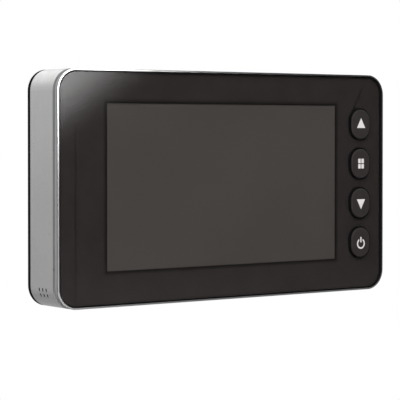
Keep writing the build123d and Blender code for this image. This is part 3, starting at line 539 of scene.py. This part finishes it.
def speaker_paper():
    """The speaker's coarse black paper cone."""
    look = Look("speaker_paper", (0.02, 0.02, 0.02), rough=0.8)
    look.paint(look.mottle(1.5 * MM, 0.25, 4.0))
    look.relief(look.noise(0.6 * MM, 4.0), 0.03 * MM)
    return look.material


def cell_wrap():
    """A plain dark sleeve on the cells, with copper rings."""
    look = Look("cell_wrap", (0.03, 0.03, 0.035), rough=0.3)
    away = look.number("PINGPONG", look.number("ADD", look.axis("Z"), RING_LIFT), RING_STEP)
    look.paint(look.blend(look.rise(away, *RING_END), RING_COPPER, look.mottle(6 * MM, 0.1)))
    look.relief(look.noise(2 * MM), 0.01 * MM)
    return look.material


def gloss_black():
    """The outdoor head's glossy front."""
    look = Look("gloss_black", (0.008, 0.008, 0.009), rough=0.08)
    look.coat(0.5, 0.03)
    look.paint(look.mottle(10 * MM, 0.15))
    look.wear(6 * MM, 0.03)
    look.relief(look.noise(2 * MM), 0.0008 * MM)
    return look.material


def lens_glass():
    """The coated front lens."""
    look = Look("lens_glass", (0.010, 0.013, 0.026), rough=0.03)
    look.coat(1.0, 0.02)
    look.shader.inputs["Specular Tint"].default_value = (0.55, 0.65, 1.0, 1.0)
    look.paint(look.mottle(3 * MM, 0.3))
    return look.material


def button_cap():
    """Dark satin plastic on the button caps, painted black below the glass's front as the shade
    in the gap round each cap.
    """
    look = Look("button_cap", (0.0205, 0.0170, 0.0162), rough=0.45)
    look.shine(0.2)
    sunk = look.rise(look.axis("Y"), *CAP_SUNK_AFTER)
    # painted shade: black on the sunk sides of the caps
    look.paint(look.blend(sunk, look.mottle(3 * MM, 0.05), CAP_SIDE_SHADE))
    look.wear(1.2 * MM, 0.04)
    look.relief(look.noise(0.2 * MM, 2.0), 0.002 * MM)
    return look.material


def icon_white():
    """White inlay in the button caps."""
    look = Look("icon_white", (0.70, 0.675, 0.67), rough=0.5)
    look.paint(look.mottle(1.5 * MM, 0.03))
    look.relief(look.noise(0.2 * MM), 0.002 * MM)
    return look.material


def cover_black():
    """The rear cover's dull black moulded plastic, a little lighter and glossier behind; the
    sides' darker, dull tone is painted shade.
    """
    look = Look("cover_black", (0.011, 0.011, 0.011), rough=0.65)
    back = look.rise(look.facing("Y"), *COVER_BACK_TURN)
    # painted shade: the sides darker than the back
    look.paint(look.blend(back, look.mottle(7 * MM, 0.08), COVER_BACK))
    look.drive("Specular IOR Level", look.spread(back, 0.0, BACK_SHINE))
    look.wear(2.5 * MM, 0.05)
    look.relief(look.noise(0.4 * MM, 3.0), 0.006 * MM)
    return look.material


def dress_nodes():
    """Gives every node of the frame its finish by the record's material slot."""
    looks = {name: moulded(name, *values) for name, values in MOULDED.items()}
    looks.update({name: plain_metal(name, *values) for name, values in METALS.items()})
    for make in (satin_metal, bright_metal, front_glass, black_film, screen, circuit_board, foam,
                 speaker_paper, cell_wrap, gloss_black, lens_glass, button_cap, icon_white):
        looks[make.__name__] = make()
    for part in frame["record"]["subparts"]:
        assign(frame["nodes"][part["node"]], looks[part["material_slot"]])
    assign(frame["nodes"]["front_bezel"], bezel_metal())
    assign(frame["nodes"]["rear_cover"], cover_black())


def assign(piece, look):
    """Puts a material in every slot of an object."""
    if not piece.material_slots:
        piece.data.materials.append(look)
    for entry in piece.material_slots:
        entry.material = look


def stand(thing, place, ahead, front="-Z"):
    """Puts an object in the scene at a place, with its front turned ahead and its Y up."""
    thing.location = place
    thing.rotation_euler = ahead.to_track_quat(front, "Y").to_euler()
    bpy.context.scene.collection.objects.link(thing)


def add_camera():
    """The camera at the photograph's place and angle."""
    data = bpy.data.cameras.new("camera")
    data.lens = LENS
    data.sensor_width = SENSOR
    data.shift_y = CAMERA_SHIFT
    camera = bpy.data.objects.new("camera", data)
    flat = math.cos(CAMERA_DIP)
    ahead = Vector((math.sin(CAMERA_TURN) * flat, math.cos(CAMERA_TURN) * flat,
                    -math.sin(CAMERA_DIP)))
    stand(camera, CAMERA_PLACE, ahead)
    bpy.context.scene.camera = camera


def add_lamp(name, place, width, height, power):
    """A soft box that points at the middle. Metal and glass don't mirror it."""
    data = bpy.data.lights.new(name, "AREA")
    data.shape = "RECTANGLE"
    data.size = width
    data.size_y = height
    data.energy = power
    lamp = bpy.data.objects.new(name, data)
    lamp.visible_glossy = False
    stand(lamp, place, Vector(MIDDLE) - Vector(place))


def add_world():
    """A white surround for the camera, metal and glass, and a softer one that lights."""
    world = bpy.data.worlds.new("studio")
    world.use_nodes = True
    tree = world.node_tree
    background = tree.nodes["Background"]
    background.inputs["Color"].default_value = (1.0, 1.0, 1.0, 1.0)
    path = tree.nodes.new("ShaderNodeLightPath")
    seen = path.outputs["Is Camera Ray"]
    for kind in ("Is Glossy Ray", "Is Transmission Ray"):
        either = tree.nodes.new("ShaderNodeMath")
        either.operation = "MAXIMUM"
        tree.links.new(seen, either.inputs[0])
        tree.links.new(path.outputs[kind], either.inputs[1])
        seen = either.outputs[0]
    level = tree.nodes.new("ShaderNodeMapRange")
    level.inputs["To Min"].default_value = ROOM_LIGHT
    level.inputs["To Max"].default_value = ROOM_SEEN
    tree.links.new(seen, level.inputs["Value"])
    tree.links.new(level.outputs["Result"], background.inputs["Strength"])
    bpy.context.scene.world = world


def add_card(name, place, target, width, height, glow, window=None):
    """A card that only metal and glass see, turned towards a target, with a glow on it."""
    corners = [(x * width / 2, y * height / 2, 0)
               for x, y in ((-1, -1), (1, -1), (1, 1), (-1, 1))]
    mesh = bpy.data.meshes.new(name)
    mesh.from_pydata(corners, [], [(0, 1, 2, 3)])
    mesh.materials.append(card_look(name, glow, window))
    card = bpy.data.objects.new(name, mesh)
    card.visible_camera = False
    card.visible_diffuse = False
    card.visible_shadow = False
    stand(card, place, Vector(target) - Vector(place), "Z")


def card_look(name, glow, window):
    """Cloth whose glow changes along lines, and past the window is as bright as the room."""
    look = Look(name, (0.0, 0.0, 0.0), rough=1.0)
    look.shine(0.0)
    total = 0.0
    for across, up, start, end, low, high in glow:
        along = look.number("ADD", look.number("MULTIPLY", look.axis("X"), across),
                            look.number("MULTIPLY", look.axis("Y"), up))
        squared = look.number("POWER", look.smooth_rise(along, start, end), 2.0)
        total = look.number("ADD", look.spread(squared, low, high), total)
    if window:
        outside = look.number("MAXIMUM", look.rise(look.axis("X"), *window[:2]),
                              look.rise(look.axis("Y"), *window[2:]))
        kept = look.number("MULTIPLY", total, look.spread(outside, 1.0, 0.0))
        room = look.number("MULTIPLY", outside, ROOM_SEEN)
        total = look.number("ADD", kept, room)
    look.drive("Emission Strength", total)
    look.shader.inputs["Emission Color"].default_value = (1.0, 1.0, 1.0, 1.0)
    return look.material


def add_floor():
    """A pale round floor well below the object, which hangs on a door; its rim fades out."""
    bpy.ops.mesh.primitive_circle_add(vertices=FLOOR_SIDES, radius=FLOOR_RADIUS,
                                      fill_type="NGON")
    floor = bpy.context.object
    floor.name = "floor"
    floor.location = (0, 0, FLOOR_LEVEL)
    look = Look("floor", (0.65, 0.65, 0.65), rough=0.6)
    look.shine(0.2)
    look.paint(look.mottle(60 * MM, 0.01))
    away = look.vector("LENGTH", look.coordinates())
    rim = look.smooth_rise(away, FLOOR_FADE, FLOOR_RADIUS)
    look.mix(rim, look.shader, look.add("ShaderNodeBsdfTransparent"))
    floor.data.materials.append(look.material)


def main():
    """Builds the scene."""
    add_camera()
    dress_nodes()
    add_world()
    add_floor()
    for name, values in SOFT_BOXES.items():
        add_lamp(name, *values)
    for name, values in CARDS.items():
        add_card(name, *values)
    bpy.context.scene.view_settings.view_transform = "Standard"


main()
